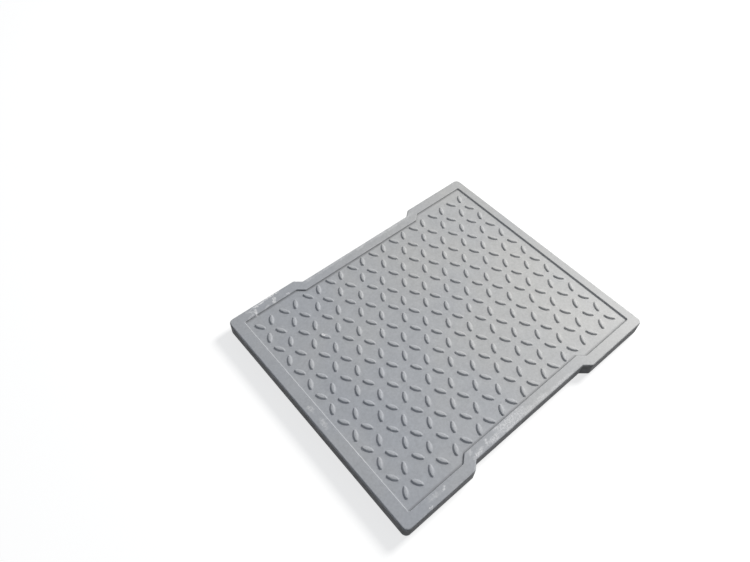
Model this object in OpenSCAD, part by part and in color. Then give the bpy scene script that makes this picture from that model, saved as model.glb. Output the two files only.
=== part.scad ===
/* [Plate] */
// Length of the cover across the channel, along X
cover_w = 605; // [440:5:1000]
// Length of the cover along the channel, along Y
cover_l = 500; // [300:5:900]
// Thickness from the seat to the top of the rim
thickness = 30; // [15:1:60]
// Plan radius of the four outer corners
corner_r = 10; // [5:1:25]
// Radius that rounds the top edge all the way round
edge_r = 2.5; // [0.5:0.5:4]
// Bevel round the edge of the underside
foot_bevel = 1; // [0.5:0.5:3]

/* [Drain notches] */
// Length of each notch along its open mouth
notch_mouth = 304; // [120:1:360]
// Depth of each notch, which is half of the slot that two covers form
notch_depth = 12; // [6:0.5:20]
// Angle that each end of a notch makes with the notched edge
notch_angle = 40; // [35:1:70]
// Plan radius where a notch's end meets the outer edge
mouth_r = 5; // [4.5:0.5:10]
// Plan radius where a notch's end meets its floor
floor_r = 2; // [1:0.5:6]

/* [Panel] */
// Width of the raised rim along the plain edge at -X
rim_minus_x = 23; // [10:0.5:40]
// Width of the raised rim along the plain edge at +X
rim_plus_x = 17.5; // [10:0.5:40]
// Width of the raised rim along the two notched edges
rim_notched = 20.5; // [10:0.5:40]
// Depth of the sunk panel below the top of the rim
panel_depth = 2.8; // [1:0.1:5]
// Plan width of the panel's sloped wall
wall_run = 1.5; // [1:0.5:6]
// Plan radius of the panel's floor in its corners
panel_r = 1.5; // [0.5:0.5:8]

/* [Tread] */
// Length of one bump from tip to tip
bump_len = 22.5; // [12:0.5:27]
// Width of one bump across its middle
bump_w = 10; // [4:0.5:12]
// Height of one bump above the panel's floor
bump_h = 2.8; // [0.5:0.1:3.5]
// Share of a bump's length and width that its flat crown takes
crown = 0.6; // [0.3:0.05:0.8]
// Lean of each bump's long axis from X, one way and then the other
bump_lean = 60; // [30:5:75]
// Mean distance between the bumps' centres along X
pitch_x = 27.8; // [24:0.1:45]
// Shift along X that brings each bump nearer to its partner, as the columns stand in pairs
pair_shift = 1.2; // [0:0.1:3]
// Distance between the bumps' centres along Y
pitch_y = 31.2; // [27:0.1:50]
// Shift of the whole tread along X from the plate's middle, towards the narrower plain rim
tread_shift = 1.6; // [0:0.1:4]
// Least gap between a bump and the foot of the panel's wall
tread_gap = 1; // [1:0.5:12]

/* [Hidden] */

// Steps in each rounded corner of the plan, in the rounded top edge and along one side of a bump
plan_steps = 5;
edge_steps = 4;
bump_steps = 4;

// Length along X that each sloped end of a notch takes
notch_run = notch_depth / tan(notch_angle);

// Height of the panel's floor, and the depth that each bump is rooted in it
panel_z = thickness - panel_depth;
bump_root = bump_h / 5;

// Reach of the panel's floor from the tread's middle, at the nearer wall and between the two notches
panel_half_x = cover_w / 2 - max(rim_minus_x - tread_shift, rim_plus_x + tread_shift) - wall_run;
panel_half_y = cover_l / 2 - notch_depth - rim_notched - wall_run;

// Half sizes of one leaning bump, and the rows of bumps that then fit on the panel
bump_half_x = bump_len / 2 * cos(bump_lean) + bump_w / 2 * sin(bump_lean) + pair_shift;
bump_half_y = bump_len / 2 * sin(bump_lean);
tread_cols = 1 + floor(2 * (panel_half_x - tread_gap - bump_half_x) / pitch_x);
tread_rows = 1 + floor(2 * (panel_half_y - tread_gap - bump_half_y) / pitch_y);

function unit(v) = v / norm(v);
function turned(v, a) = [v.x * cos(a) - v.y * sin(a), v.x * sin(a) + v.y * cos(a)];

// The notched side at +Y, from the +X corner to the -X corner, moved in from the plate's edges
function notched_side(in_plus_x, in_minus_x, in_y) =
    let (
        y = cover_l / 2 - in_y,
        mouth = notch_mouth / 2 + in_y * tan(notch_angle / 2),
        floor_x = mouth - notch_run,
        floor_y = y - notch_depth
    )
    [
        [cover_w / 2 - in_plus_x, y],
        [mouth, y],
        [floor_x, floor_y],
        [-floor_x, floor_y],
        [-mouth, y],
        [in_minus_x - cover_w / 2, y]
    ];

// The arc of radius r that rounds corner b of the outline through a, b and c
function rounded_corner(a, b, c, r) =
    let (
        ahead = unit(b - a),
        after = unit(c - b),
        turn = atan2(cross(ahead, after), ahead * after),
        inward = sign(turn) * [-ahead.y, ahead.x],
        start = b - r * tan(abs(turn) / 2) * ahead,
        centre = start + r * inward
    )
    [for (k = [0 : plan_steps]) centre - r * turned(inward, turn * k / plan_steps)];

// The whole plan, moved in from each edge, counter-clockwise, with radii for its corners, mouths and
// notch floors
function plan(in_plus_x, in_minus_x, in_y, corner, mouth, inner) =
    let (
        side = notched_side(in_plus_x, in_minus_x, in_y),
        far_side = [for (k = [len(side) - 1 : -1 : 0]) [side[k].x, -side[k].y]],
        points = concat(side, far_side),
        half_radii = [corner, mouth, inner, inner, mouth, corner],
        radii = concat(half_radii, half_radii),
        n = len(points)
    )
    [
        for (i = [0 : n - 1])
            each rounded_corner(points[(i + n - 1) % n], points[i], points[(i + 1) % n], radii[i])
    ];

// An outline of the plate's own sides, and one of the sunk panel's walls
function side_ring(inset, z) =
    let (points = plan(inset, inset, inset, corner_r - inset, mouth_r - inset, floor_r + inset))
    [for (p = points) [p.x, p.y, z]];
function wall_ring(inset, z) =
    let (
        r = panel_r + wall_run - inset,
        inner = floor_r + inset,
        points = plan(rim_plus_x + inset, rim_minus_x + inset, rim_notched + inset, r, r, inner)
    )
    [for (p = points) [p.x, p.y, z]];

// A closed solid through rings of equally many points, from the lowest outline to the last one. Its
// two end faces are strips across Y, so a ring starts at +X and its second half mirrors its first
module skin(rings) {
    n = len(rings[0]);
    sides = [
        for (k = [0 : len(rings) - 2], i = [0 : n - 1])
            let (j = (i + 1) % n)
            [k * n + i, (k + 1) * n + i, (k + 1) * n + j, k * n + j]
    ];
    bottom = [for (i = [0 : n / 2 - 2]) [i, i + 1, n - 2 - i, n - 1 - i]];
    top = [for (strip = bottom) [for (c = [3 : -1 : 0]) (len(rings) - 1) * n + strip[c]]];
    polyhedron([for (ring = rings) each ring], concat(bottom, sides, top));
}

// The moulded slab: flat underside, upright sides, rounded top edge, rim and sunk panel
module slab() {
    top_edge = [
        for (k = [0 : edge_steps])
            let (a = 90 * k / edge_steps)
            side_ring(edge_r * (1 - cos(a)), thickness - edge_r * (1 - sin(a)))
    ];
    skin(concat(
        [side_ring(foot_bevel, 0), side_ring(0, foot_bevel)],
        top_edge,
        [wall_ring(0, thickness), wall_ring(wall_run, panel_z)]
    ));
}

// The pointed oval of one bump at a share of its full size, in hundredths so that its flanks are flat
function oval_ring(share, z) =
    let (
        long = bump_len / 2,
        wide = bump_w / 2,
        r = (long * long + wide * wide) / (2 * wide),
        spread = asin(long / r),
        arc = [
            for (k = [0 : bump_steps - 1])
                let (a = 90 - spread + 2 * spread * k / bump_steps)
                [r * cos(a), r * sin(a) - r + wide]
        ]
    )
    [for (p = concat(arc, -arc)) [share * round(100 * p.x) / 100, share * round(100 * p.y) / 100, z]];

// One anti-slip bump: a pointed oval with sloped flanks and a flat crown, rooted in the floor
module bump() {
    spread = (1 - crown) * bump_root / bump_h;
    skin([oval_ring(1 + spread, -bump_root), oval_ring(crown, bump_h)]);
}

// The tread: rows of bumps that lean one way and the other by turns
module tread() {
    for (i = [0 : tread_cols - 1], j = [0 : tread_rows - 1]) {
        nudge = tread_shift + (i % 2 == 0 ? pair_shift : -pair_shift);
        x = (i - (tread_cols - 1) / 2) * pitch_x + nudge;
        y = (j - (tread_rows - 1) / 2) * pitch_y;
        lean = (i + j) % 2 == 0 ? bump_lean : -bump_lean;
        translate([x, y, panel_z])
            rotate(lean)
                bump();
    }
}

module cover_plate() {
    color([0.66, 0.67, 0.69])
        union() {
            slab();
            tread();
        }
}

cover_plate();
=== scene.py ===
import math
import bmesh
import bpy
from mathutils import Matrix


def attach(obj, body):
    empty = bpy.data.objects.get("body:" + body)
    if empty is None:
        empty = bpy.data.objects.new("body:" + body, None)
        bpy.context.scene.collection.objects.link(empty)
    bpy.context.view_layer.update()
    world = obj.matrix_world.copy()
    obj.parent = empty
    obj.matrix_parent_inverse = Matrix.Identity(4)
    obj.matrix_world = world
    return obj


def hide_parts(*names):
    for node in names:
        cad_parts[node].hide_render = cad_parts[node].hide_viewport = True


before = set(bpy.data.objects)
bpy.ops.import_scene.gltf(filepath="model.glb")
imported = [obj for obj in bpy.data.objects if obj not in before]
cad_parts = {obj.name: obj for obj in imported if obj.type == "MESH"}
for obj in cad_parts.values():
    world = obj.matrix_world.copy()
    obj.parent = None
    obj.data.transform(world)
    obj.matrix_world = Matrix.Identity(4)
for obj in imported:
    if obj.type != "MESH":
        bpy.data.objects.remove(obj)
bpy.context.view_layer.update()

# The view: the photograph looks down on the cover over its corner at -X and -Y, with a short lens.
# The camera's place and turn come from the perspective of the tread's regular rows.
bpy.ops.object.camera_add(
    location=(-0.5371, -0.4221, 1.0248),
    rotation=[math.radians(turn) for turn in (37.5131, -1.1123, -40.3657)],
)
view_camera = bpy.context.object
view_camera.name = "view_camera"
view_camera.data.sensor_width = 36
view_camera.data.lens = 30.486
bpy.context.scene.camera = view_camera


# The cover plate: one slab of grey glass-fibre resin composite, hot-pressed in a mould. The mould
# forms the raised rim, the sunk panel, the tread and both drain notches in the same pressing.
# It lies loose on the channel's seats by its own weight, with no fixing.
cover_w = 0.605
cover_l = 0.500
thickness = 0.030
corner_r = 0.010
edge_r = 0.0025
foot_bevel = 0.001
notch_mouth = 0.304
notch_depth = 0.012
notch_angle = math.radians(40)
notch_floor = notch_mouth - 2 * notch_depth / math.tan(notch_angle)
mouth_r = 0.005
floor_r = 0.002
rim_minus_x = 0.023
rim_plus_x = 0.0175
rim_notched = 0.0205
panel_depth = 0.0028
wall_run = 0.0015
panel_z = thickness - panel_depth
panel_corner_r = 0.003
crest_r = 0.0006
wall_foot_r = 0.0005


def pick(kind, wanted):
    """In edit mode, select only the faces, edges or points that wanted() says yes to"""
    bpy.ops.mesh.select_mode(type=kind)
    bpy.ops.mesh.select_all(action="DESELECT")
    mesh = bmesh.from_edit_mesh(bpy.context.object.data)
    parts = {"FACE": mesh.faces, "EDGE": mesh.edges, "VERT": mesh.verts}[kind]
    for part in parts:
        if wanted(part):
            part.select_set(True)
    mesh.select_flush_mode()
    bmesh.update_edit_mesh(bpy.context.object.data)


def near(a, b):
    """Whether two distances are the same, to a hundredth of a millimetre"""
    return abs(a - b) < 1e-5


def faces_up(face):
    return face.normal.z > 0.99


def faces_down(face):
    return face.normal.z < -0.99


def stands(face):
    return abs(face.normal.z) < 0.01


def slopes(face):
    return 0.1 < face.normal.z < 0.95


def open_edge(edge):
    return len(edge.link_faces) < 2


def between(edge, one, other):
    """Whether an edge parts a face of one kind from a face of another kind"""
    if len(edge.link_faces) != 2:
        return False
    a, b = edge.link_faces
    return (one(a) and other(b)) or (one(b) and other(a))


def upright(edge, x, y):
    """Whether an edge stands upright at a plan place, or at one of its mirror images"""
    a, b = [v.co for v in edge.verts]
    return near(a.x, b.x) and near(a.y, b.y) and near(abs(a.x), x) and near(abs(a.y), y)


def panel_face(face):
    """Whether a face is the one inside the rim, which takes up most of the top"""
    return faces_up(face) and face.calc_area() > cover_w * cover_l / 2


def round_off(wanted, reach, steps):
    """Round the edges that wanted() picks, up to a distance of reach from each edge"""
    pick("EDGE", wanted)
    bpy.ops.mesh.bevel(offset=reach, segments=steps, profile=0.5, affect="EDGES")


bpy.ops.object.select_all(action="DESELECT")
bpy.ops.mesh.primitive_cube_add(size=1, location=(0, 0, thickness / 2))
cover = bpy.context.object
cover.name = "moulded_cover"
cover.data.name = "moulded_cover"
cover.scale = (cover_w, cover_l, thickness)
bpy.ops.object.transform_apply(location=True, rotation=True, scale=True)
bpy.ops.object.mode_set(mode="EDIT")

# Notches: cuts across the slab mark where each side bends, and the floors are pushed in
for x in (-notch_mouth / 2, -notch_floor / 2, 0, notch_floor / 2, notch_mouth / 2):
    bpy.ops.mesh.select_all(action="SELECT")
    bpy.ops.mesh.bisect(plane_co=(x, 0, 0), plane_no=(1, 0, 0))
for side in (-1, 1):
    pick(
        "FACE",
        lambda f: f.normal.y * side > 0.9 and abs(f.calc_center_median().x) < notch_floor / 2,
    )
    bpy.ops.transform.translate(value=(0, -side * notch_depth, 0))
pick("FACE", faces_down)
bpy.ops.mesh.dissolve_faces()
pick("FACE", faces_up)
bpy.ops.mesh.dissolve_faces()

# Rim and panel: the rim has its own width along each plain edge, and the panel is sunk inside it
bpy.ops.mesh.inset(thickness=rim_notched, use_even_offset=True)
for side, rim in ((-1, rim_minus_x), (1, rim_plus_x)):
    pick("VERT", lambda v: near(v.co.x * side, cover_w / 2 - rim_notched))
    bpy.ops.transform.translate(value=(side * (rim_notched - rim), 0, 0))
pick("FACE", panel_face)
bpy.ops.mesh.inset(thickness=wall_run, depth=-panel_depth, use_even_offset=True)

# The inset leaves lines across the rim. All are cleared but the two at its middle, which a ring of
# faces needs
pick("EDGE", lambda e: between(e, faces_up, faces_up) and not near(e.verts[0].co.x, 0))
bpy.ops.mesh.dissolve_edges(use_verts=False)

# Plan corners. A rounding of radius r takes less than r along each side where a notch's end bends
corner_share = math.tan(notch_angle / 2)
round_off(lambda e: upright(e, cover_w / 2, cover_l / 2), corner_r, 8)
round_off(lambda e: upright(e, notch_mouth / 2, cover_l / 2), mouth_r * corner_share, 4)
round_off(lambda e: upright(e, notch_floor / 2, cover_l / 2 - notch_depth), floor_r * corner_share, 3)


def wall_corner(edge, low_x, high_x):
    """Whether an edge runs down the panel's wall between two faces of it, so far from the middle"""
    a, b = [v.co for v in edge.verts]
    runs_down = abs(a.z - b.z) > panel_depth / 2
    return between(edge, slopes, slopes) and runs_down and low_x < abs(a.x) < high_x


# The corners of the panel's wall, by how far along X they stand, then every edge that a hand feels
bends_from, corners_from, corners_to = 0.1, 0.2, 0.3
round_off(lambda e: wall_corner(e, corners_from, corners_to), panel_corner_r, 5)
round_off(lambda e: wall_corner(e, bends_from, corners_from), panel_corner_r * corner_share, 3)
round_off(lambda e: between(e, faces_up, slopes) and near(e.verts[0].co.z, thickness), crest_r, 3)
round_off(lambda e: between(e, faces_up, slopes) and near(e.verts[0].co.z, panel_z), wall_foot_r, 2)
round_off(lambda e: between(e, faces_up, stands), edge_r, 5)
round_off(lambda e: between(e, faces_down, stands), foot_bevel, 2)
pick("FACE", lambda f: faces_up(f) and near(f.calc_center_median().z, panel_z))
bpy.ops.mesh.delete(type="FACE")
bpy.ops.object.mode_set(mode="OBJECT")

# The tread: anti-slip bumps in even rows, whose columns stand in pairs. Each is a long oval with
# blunt tips, which rises over a soft foot and a steep flank to a flat crown. A step of the flank is
# how far it lies in from the foot's tip and from its side, and how high it stands. The field is the
# even floor that the rows cover
bump_len = 0.0264
bump_w = 0.0110
bump_h = 0.0028
bump_lean = 60
pitch_x = 0.0278
pitch_y = 0.0312
pair_shift = 0.0012
tread_shift = 0.0011
tread_cols = 20
tread_rows = 14
field_minus_x = 0.2752
field_plus_x = 0.2801
field_half_y = 0.2149
drum_r = (bump_len ** 2 + bump_w ** 2) / (4 * bump_w)
drum_depth = 0.01
tip_cut = 0.0036
flank = (
    (0.0004, 0.0004, 0.00018),
    (0.0024, 0.0023, 0.00205),
    (0.0040, 0.0036, bump_h),
)
weld = 1e-6

# One bump: two drums cross in a pointed oval, of which only the top face stays, at floor level.
# That is the first drum's, as the second one is deeper
bpy.ops.object.select_all(action="DESELECT")
drums = []
for side, depth in ((-1, drum_depth), (1, 3 * drum_depth)):
    bpy.ops.mesh.primitive_cylinder_add(
        vertices=20,
        radius=drum_r,
        depth=depth,
        location=(0, side * (drum_r - bump_w / 2), panel_z - drum_depth / 2),
    )
    bpy.ops.object.transform_apply(location=True, rotation=True, scale=True)
    drums.append(bpy.context.object)
tread, second_drum = drums
bpy.ops.object.select_all(action="DESELECT")
bpy.context.view_layer.objects.active = tread
tread.select_set(True)
cross = tread.modifiers.new("cross", "BOOLEAN")
cross.operation = "INTERSECT"
cross.solver = "EXACT"
cross.object = second_drum
bpy.ops.object.modifier_apply(modifier="cross")
bpy.data.objects.remove(second_drum)
bpy.ops.object.mode_set(mode="EDIT")
pick("FACE", lambda f: not faces_up(f))
bpy.ops.mesh.delete(type="FACE")
pick("VERT", lambda v: near(v.co.y, 0))
bpy.ops.mesh.bevel(offset=tip_cut, segments=2, profile=0.5, affect="VERTICES")
bpy.ops.mesh.select_all(action="SELECT")
half_long, half_wide, height = bump_len / 2, bump_w / 2, 0
for in_long, in_wide, next_height in flank:
    bpy.ops.mesh.extrude_region_move(
        TRANSFORM_OT_translate={"value": (0, 0, next_height - height)}
    )
    next_long, next_wide = bump_len / 2 - in_long, bump_w / 2 - in_wide
    bpy.ops.transform.resize(
        value=(next_long / half_long, next_wide / half_wide, 1), center_override=(0, 0, panel_z)
    )
    half_long, half_wide, height = next_long, next_wide, next_height
pick("FACE", lambda f: near(f.calc_center_median().z, panel_z))
bpy.ops.mesh.delete(type="FACE")
bpy.ops.object.mode_set(mode="OBJECT")
tread.rotation_euler.z = math.radians(bump_lean)
tread.location.x = -pair_shift
bpy.ops.object.transform_apply(location=True, rotation=True, scale=True)

# Its tile: the edge of one square of floor, filled in round the foot of the bump
bpy.ops.mesh.primitive_plane_add(size=1, location=(0, 0, panel_z))
tile = bpy.context.object
tile.scale = (pitch_x, pitch_y, 1)
bpy.ops.object.transform_apply(location=True, rotation=True, scale=True)
bpy.ops.object.mode_set(mode="EDIT")
bpy.ops.mesh.delete(type="ONLY_FACE")
bpy.ops.mesh.select_all(action="SELECT")
bpy.ops.mesh.subdivide(number_cuts=2)
bpy.ops.object.mode_set(mode="OBJECT")
tread.select_set(True)
bpy.context.view_layer.objects.active = tread
bpy.ops.object.join()
bpy.ops.object.mode_set(mode="EDIT")
pick("EDGE", open_edge)
bpy.ops.mesh.fill(use_beauty=True)
bpy.ops.mesh.select_all(action="SELECT")
bpy.ops.transform.translate(value=(pitch_x / 2, pitch_y / 2, 0))
bpy.ops.object.mode_set(mode="OBJECT")

# The tile is mirrored both ways into a cell of four, and the cells are laid in rows over the panel
halves = tread.modifiers.new("halves", "MIRROR")
halves.use_axis = (True, True, False)
halves.use_clip = False
halves.merge_threshold = weld
bpy.ops.object.modifier_apply(modifier="halves")
first_x = tread_shift - (tread_cols / 2 - 1) * pitch_x
first_y = -(tread_rows / 2 - 1) * pitch_y
tread.location = (first_x, first_y, 0)
bpy.ops.object.transform_apply(location=True, rotation=True, scale=True)
for name, count, step in (
    ("columns", tread_cols // 2, (2 * pitch_x, 0, 0)),
    ("rows", tread_rows // 2, (0, 2 * pitch_y, 0)),
):
    laid = tread.modifiers.new(name, "ARRAY")
    laid.count = count
    laid.use_relative_offset = False
    laid.use_constant_offset = True
    laid.constant_offset_displace = step
    laid.use_merge_vertices = True
    laid.merge_threshold = weld
    bpy.ops.object.modifier_apply(modifier=name)

# Only the outer edge of the laid cells is brought to the size and place of the field
bpy.ops.object.mode_set(mode="EDIT")
pick("EDGE", open_edge)
bpy.ops.transform.resize(
    value=(
        (field_minus_x + field_plus_x) / (tread_cols * pitch_x),
        2 * field_half_y / (tread_rows * pitch_y),
        1,
    ),
    center_override=(tread_shift, 0, panel_z),
)
bpy.ops.transform.translate(value=((field_plus_x - field_minus_x) / 2 - tread_shift, 0, 0))
bpy.ops.object.mode_set(mode="OBJECT")

# The tread joins the slab, and a strip of plain floor closes the gap to the panel's wall. Faces
# that meet at less than the smooth angle shade as one
smooth_angle = math.radians(36)
bpy.ops.object.select_all(action="DESELECT")
tread.select_set(True)
cover.select_set(True)
bpy.context.view_layer.objects.active = cover
bpy.ops.object.join()
bpy.ops.object.mode_set(mode="EDIT")
pick("EDGE", open_edge)
bpy.ops.mesh.fill(use_beauty=True)
bpy.ops.mesh.select_all(action="SELECT")
bpy.ops.mesh.remove_doubles(threshold=weld)
bpy.ops.mesh.normals_make_consistent(inside=False)
bpy.ops.object.mode_set(mode="OBJECT")
bpy.ops.object.shade_smooth_by_angle(angle=smooth_angle)
flats = cover.modifiers.new("flats", "WEIGHTED_NORMAL")
flats.keep_sharp = True
bpy.ops.object.modifier_apply(modifier="flats")


class Wire:
    """A socket of a finish's nodes. Sums and products of wires add Math nodes"""

    def __init__(self, tree, socket=None):
        self.tree = tree
        self.socket = socket

    def node(self, kind, settings=None, inputs=None, output=0):
        """Add a node, with its settings first and then its sockets' values or wires"""
        made = self.tree.nodes.new("ShaderNode" + kind)
        for name, value in (settings or {}).items():
            setattr(made, name, value)
        for name, value in (inputs or {}).items():
            if isinstance(value, Wire):
                self.tree.links.new(value.socket, made.inputs[name])
            else:
                made.inputs[name].default_value = value
        return Wire(self.tree, made.outputs[output])

    def end(self, kind, surface):
        """Lead a shader's wire into the output node of its material or sky"""
        made = self.tree.nodes.new("ShaderNode" + kind)
        self.tree.links.new(surface.socket, made.inputs["Surface"])

    def math(self, operation, a, b=0.0, clamp=False):
        settings = {"operation": operation, "use_clamp": clamp}
        return self.node("Math", settings, {0: a, 1: b})

    def blend(self, factor, a, b, way="MIX"):
        """Mix two colours, each a tuple or a wire"""
        settings = {"data_type": "RGBA", "blend_type": way, "clamp_factor": True}
        return self.node("Mix", settings, {0: factor, 6: a, 7: b}, output=2)

    def __abs__(self):
        return self.math("ABSOLUTE", self)

    def __add__(self, other):
        return self.math("ADD", self, other)

    def __radd__(self, other):
        return self.math("ADD", other, self)

    def __sub__(self, other):
        return self.math("SUBTRACT", self, other)

    def __rsub__(self, other):
        return self.math("SUBTRACT", other, self)

    def __mul__(self, other):
        return self.math("MULTIPLY", self, other)

    def __rmul__(self, other):
        return self.math("MULTIPLY", other, self)


composite = bpy.data.materials.new("pressed_composite")
composite.use_nodes = True
composite.node_tree.nodes.clear()
finish = Wire(composite.node_tree)
place = finish.node("TexCoord", output="Object")
axes = [finish.node("SeparateXYZ", inputs={0: place}, output=k) for k in range(3)]


def grain(scale, detail, rough):
    """Noise over the surface, with so many features to the metre"""
    return finish.node(
        "TexNoise",
        {"noise_dimensions": "3D"},
        {"Vector": place, "Scale": scale, "Detail": detail, "Roughness": rough},
    )


def ramp(wire, low, high):
    """Turn a value from low to high into one from 0 to 1"""
    return finish.node(
        "MapRange",
        {"interpolation_type": "SMOOTHSTEP", "clamp": True},
        {"Value": wire, "From Min": low, "From Max": high},
    )


# The composite's grey varies in soft clouds, and it is painted cooler and darker at -X, warmer and
# lighter at +X: painted light, for the lamp's side and its sheen
cool_grey = (0.398, 0.417, 0.455, 1)
warm_grey = (0.488, 0.488, 0.482, 1)
# A pale colour for the scuffs, the painted glints and the painted edge highlight
pale_scuff_and_highlight = (0.90, 0.90, 0.91, 1)
# The dark colour of the painted shade
painted_shade_colour = (0.11, 0.11, 0.115, 1)
clouds = ramp(grain(7.0, 3.0, 0.55), 0.30, 0.70)
# Painted light: the grey brightens and warms towards the lamp's side at +X
painted_light_drift = ramp(axes[0], -0.35, 0.30)
body = finish.blend(clouds * 0.35 + painted_light_drift * 0.65, cool_grey, warm_grey)

# Resin flow and glass strands show as a faint mottle, and the moulded skin as a fine speckle
mottle = grain(60.0, 3.0, 0.6)
flakes = grain(240.0, 2.0, 0.6)
speck = grain(900.0, 2.0, 0.6)
shade = 0.715 + mottle * 0.16 + flakes * 0.30 + speck * 0.10
tone = finish.node("CombineColor", inputs={0: shade, 1: shade, 2: shade})
body = finish.blend(1.0, body, tone, way="MULTIPLY")

# Painted shade: a dark colour lies along the foot of the panel's wall and round the foot of each
# bump, in the creases where shade falls, and it darkens the plate's upright sides, which stand in
# shadow. The foot of the wall runs straight past each notch, bends away from it at foot_bend_x and is
# straight again, a notch's depth further out. A gap is the way left to that foot, and a rise is a
# height over the panel's floor
foot_minus_x = cover_w / 2 - wall_run - rim_minus_x
foot_plus_x = cover_w / 2 - wall_run - rim_plus_x
foot_notch_y = cover_l / 2 - notch_depth - rim_notched - wall_run
foot_bend_x = 0.1452
past_bend = (abs(axes[0]) - foot_bend_x) * math.tan(notch_angle)
bend_y = finish.node("Clamp", inputs={"Value": past_bend, "Min": 0.0, "Max": notch_depth})
gap_y = foot_notch_y + bend_y - abs(axes[1])
gap_x = finish.math("MINIMUM", axes[0] + foot_minus_x, foot_plus_x - axes[0])
rise = axes[2] - panel_z
facing = finish.node("TexCoord", output="Normal")
upward = finish.node("SeparateXYZ", inputs={0: facing}, output=2)
steep = ramp(upward, 0.97, 0.75)
on_floor = ramp(rise, 0.0004, 0.0001)
on_panel = ramp(rise, -0.002, 0.0)
shade_reach = 0.0045
wall_foot_shade = ramp(gap_y, shade_reach, 0.0) * ramp(rise, 0.0026, 0.0016) * on_panel
plain_foot_shade = ramp(gap_x, shade_reach, 0.0) * on_floor
bump_foot_shade = steep * ramp(rise, 0.0019, 0.0004) * on_panel
side_shade = ramp(upward, 0.5, 0.1) * ramp(rise, 0.0, -0.002)
# Painted shade, summed from the creases, the bumps' steep lower flanks and the shadowed sides
painted_shade = wall_foot_shade * 0.5 + plain_foot_shade * 0.08 + bump_foot_shade * 0.12 + side_shade * 0.85
painted_shade = painted_shade * (0.55 + mottle * 0.9)
body = finish.blend(painted_shade, body, painted_shade_colour)

# Pale places: the bumps' crowns wear paler, the rim's outer edge is paler with a painted highlight
# along it, and scuffs and chips mark the rim. A few rows lie on bumps and are painted glints. Each
# row is a place in plan, a length and a width in millimetres, a turn in degrees and how strong the
# mark is. The marks' outlines are ragged by a few millimetres
scuffs_and_glints = (
    (-250.0, 233.5, 17, 5, 82, 1.0),
    (-250.5, 233.0, 12, 5, 82, 1.0),
    (-257.0, 240.0, 20, 6, 150, 0.45),
    (-262.0, 232.0, 16, 5, 10, 0.3),
    (-227.0, 231.5, 14, 5, 12, 0.35),
    (-207.0, 235.5, 17, 7, 58, 0.8),
    (-176.5, 231.5, 8, 6, 0, 0.7),
    (-222.0, 246.6, 72, 4.5, 3.0, 1.0),
    (-124.0, 234.0, 26, 8, 8, 0.3),
    (-62.0, 234.5, 130, 6, 1, 0.3),
    (8.0, 235.0, 34, 8, 0, 0.35),
    (91.0, 235.5, 150, 9, 1, 0.3),
    (-126.0, -232.0, 30, 10, 12, 0.6),
    (-102.5, -226.0, 12, 6, 78, 0.6),
    (-88.0, -231.0, 42, 10, 4, 0.5),
    (-66.0, -222.0, 30, 8, 170, 0.5),
    (-51.0, -226.0, 60, 14, 6, 0.5),
    (-23.0, -224.0, 40, 12, 172, 0.4),
    (-46.0, -234.0, 60, 9, 2, 0.45),
    (-12.0, -232.0, 50, 10, 178, 0.4),
    (29.0, -232.0, 40, 8, 0, 0.35),
    (78.0, -234.0, 80, 7, 1, 0.3),
    (-137.0, -222.0, 12, 8, 40, 0.4),
    (-212.5, -238.0, 12, 6, 20, 0.5),
    (-232.0, -236.0, 26, 8, 176, 0.3),
    (-248.0, -246.5, 9, 4, 0, 0.6),
    (-290.0, -28.0, 26, 9, 84, 0.35),
    (-291.0, 8.0, 16, 8, 95, 0.35),
    # From here on, the marks on bumps' crowns are painted glints
    (-182.0, 112.5, 8, 3.5, -52, 1.0),
    (-100.0, 82.0, 9, 4, 60, 0.5),
    (-95.0, 54.0, 9, 4, -60, 0.5),
    (-40.5, -12.0, 9, 4, 60, 0.45),
    (-20.0, -72.0, 9, 4, -60, 0.45),
    (-210.0, -110.0, 9, 4, 60, 0.4),
)
ragged_by = 0.012
shift = (ragged_by, ragged_by, 0.0)
back = (-ragged_by / 2, -ragged_by / 2, 0.0)
swirl = finish.node("TexNoise", inputs={"Vector": place, "Scale": 200.0, "Detail": 4.0}, output=1)
ragged = finish.node("VectorMath", {"operation": "MULTIPLY_ADD"}, {0: swirl, 1: shift, 2: place})
ragged = finish.node("VectorMath", {"operation": "ADD"}, {0: ragged, 1: back})
mark_depth = 0.01
rubbed_and_glints = 0.0
for x, y, long, wide, turn, strength in scuffs_and_glints:
    mark = finish.node(
        "Mapping",
        {"vector_type": "TEXTURE"},
        {
            "Vector": ragged,
            "Location": (x / 1000, y / 1000, thickness),
            "Rotation": (0, 0, math.radians(turn)),
            "Scale": (long / 2000, wide / 2000, mark_depth),
        },
    )
    reach = finish.node("VectorMath", {"operation": "LENGTH"}, {0: mark}, output=1)
    rubbed_and_glints = finish.math("MAXIMUM", rubbed_and_glints, ramp(reach, 1.3, 0.45) * strength)
patches = ramp(grain(300.0, 4.0, 0.7), 0.42, 0.58)
in_field = ramp(finish.math("MINIMUM", gap_x, gap_y), 0.0, 0.0005)
edge = ramp(upward, 0.998, 0.93) * ramp(upward, 0.60, 0.85) * (1 - in_field)
# The rim's rounded edge: wear, and a painted highlight along it
edge_wear_and_highlight = edge * ramp(rise, 0.0018, 0.0026) * ramp(grain(90.0, 4.0, 0.65), 0.38, 0.66) * 0.4
crown_wear = in_field * ramp(rise, 0.0024, 0.0027) * (0.03 + patches * 0.08)
pale_wear_and_highlights = finish.math("MAXIMUM", rubbed_and_glints * (0.3 + patches * 0.9), edge_wear_and_highlight + crown_wear, clamp=True)
body = finish.blend(pale_wear_and_highlights, body, pale_scuff_and_highlight)

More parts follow.
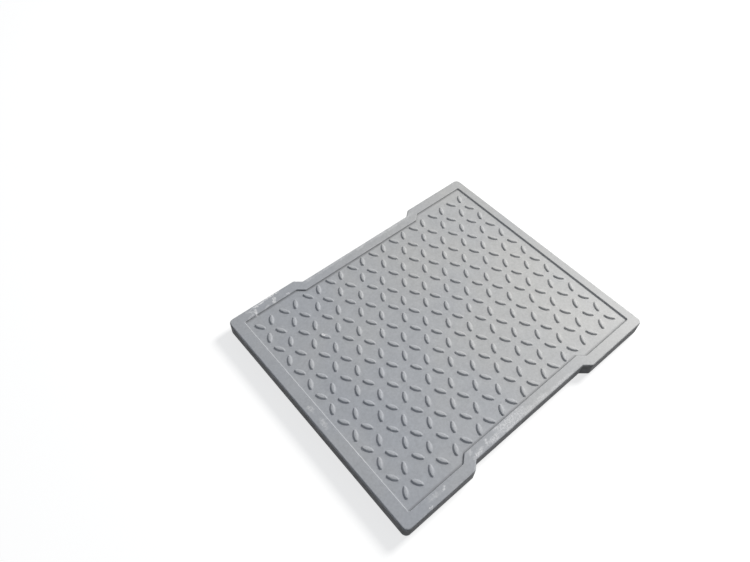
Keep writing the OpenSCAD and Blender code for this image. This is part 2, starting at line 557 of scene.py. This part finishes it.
# The moulded skin is finely pitted and sinks a little between the strands, and the pale marks, scuffs
# and painted glints alike, cut into it
pits = grain(1300.0, 2.0, 0.6)
sink = grain(28.0, 2.0, 0.5)
lumps = pits * 0.7 + sink * 0.8 + flakes * 0.5 - pale_wear_and_highlights * 0.5
relief_depth = 0.00012
relief = finish.node("Bump", inputs={"Strength": 0.5, "Distance": relief_depth, "Height": lumps})
shader = finish.node(
    "BsdfPrincipled",
    inputs={
        "Base Color": body,
        "Roughness": 0.44 + mottle * 0.12 + pale_wear_and_highlights * 0.12 + painted_shade * 0.2,
        "Specular IOR Level": 0.5,
        "Normal": relief,
    },
)
finish.end("OutputMaterial", shader)

cover.data.materials.append(composite)
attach(cover, "root")
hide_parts("cover_plate")


# The ground: a wide sheet of white card under the cover, part of the stage. The camera sees it
# white, with the cover's soft shadow, and it throws only a little light back up the sides.
bpy.ops.object.select_all(action="DESELECT")
bpy.ops.mesh.primitive_plane_add(size=5, location=(0, 0, -0.0002))
ground = bpy.context.object
ground.name = "ground_card"
card = bpy.data.materials.new("ground_card")
card.use_nodes = True
card.node_tree.nodes.clear()
paper = Wire(card.node_tree)


def shows_white(wire):
    """1 where a ray comes from the camera, off a gloss or through glass, and 0 elsewhere"""
    seen = wire.node("LightPath", output="Is Camera Ray")
    mirrored = wire.node("LightPath", output="Is Glossy Ray")
    through = wire.node("LightPath", output="Is Transmission Ray")
    return wire.math("ADD", seen + mirrored, through, clamp=True)


lit = paper.node("BsdfDiffuse", inputs={"Color": (0.45, 0.45, 0.45, 1)})
glow = paper.node("Emission", inputs={"Color": (1, 1, 1, 1), "Strength": 0.72})
bright = paper.node("AddShader", inputs={0: lit, 1: glow})
dull = paper.node("BsdfDiffuse", inputs={"Color": (0.06, 0.06, 0.06, 1)})
surface = paper.node("MixShader", inputs={0: shows_white(paper), 1: dull, 2: bright})
paper.end("OutputMaterial", surface)
ground.data.materials.append(card)


# The light: one large soft lamp high on the +X side, which draws each bump's far flank dark, and a
# weak even sky. The sky's picture behind the cover is plain white.
bpy.ops.object.light_add(type="AREA", location=(3.05, 0.0, 2.4))
lamp = bpy.context.object
lamp.name = "side_lamp"
lamp.data.shape = "DISK"
lamp.data.size = 1.2
lamp.data.energy = 156
lamp.data.color = (1.0, 0.985, 0.955)
towards_lamp = lamp.location.copy()
lamp.rotation_euler = towards_lamp.to_track_quat("Z", "Y").to_euler()
sky = bpy.data.worlds.new("sky")
bpy.context.scene.world = sky
sky.use_nodes = True
sky.node_tree.nodes.clear()
air = Wire(sky.node_tree)
weak_blue = (0.18, 0.195, 0.215, 1)
white = (1, 1, 1, 1)
colour = air.blend(shows_white(air), weak_blue, white)
backdrop = air.node("Background", inputs={"Color": colour, "Strength": 1.0})
air.end("OutputWorld", backdrop)

# The picture shows colours as they are
bpy.context.scene.view_settings.view_transform = "Standard"
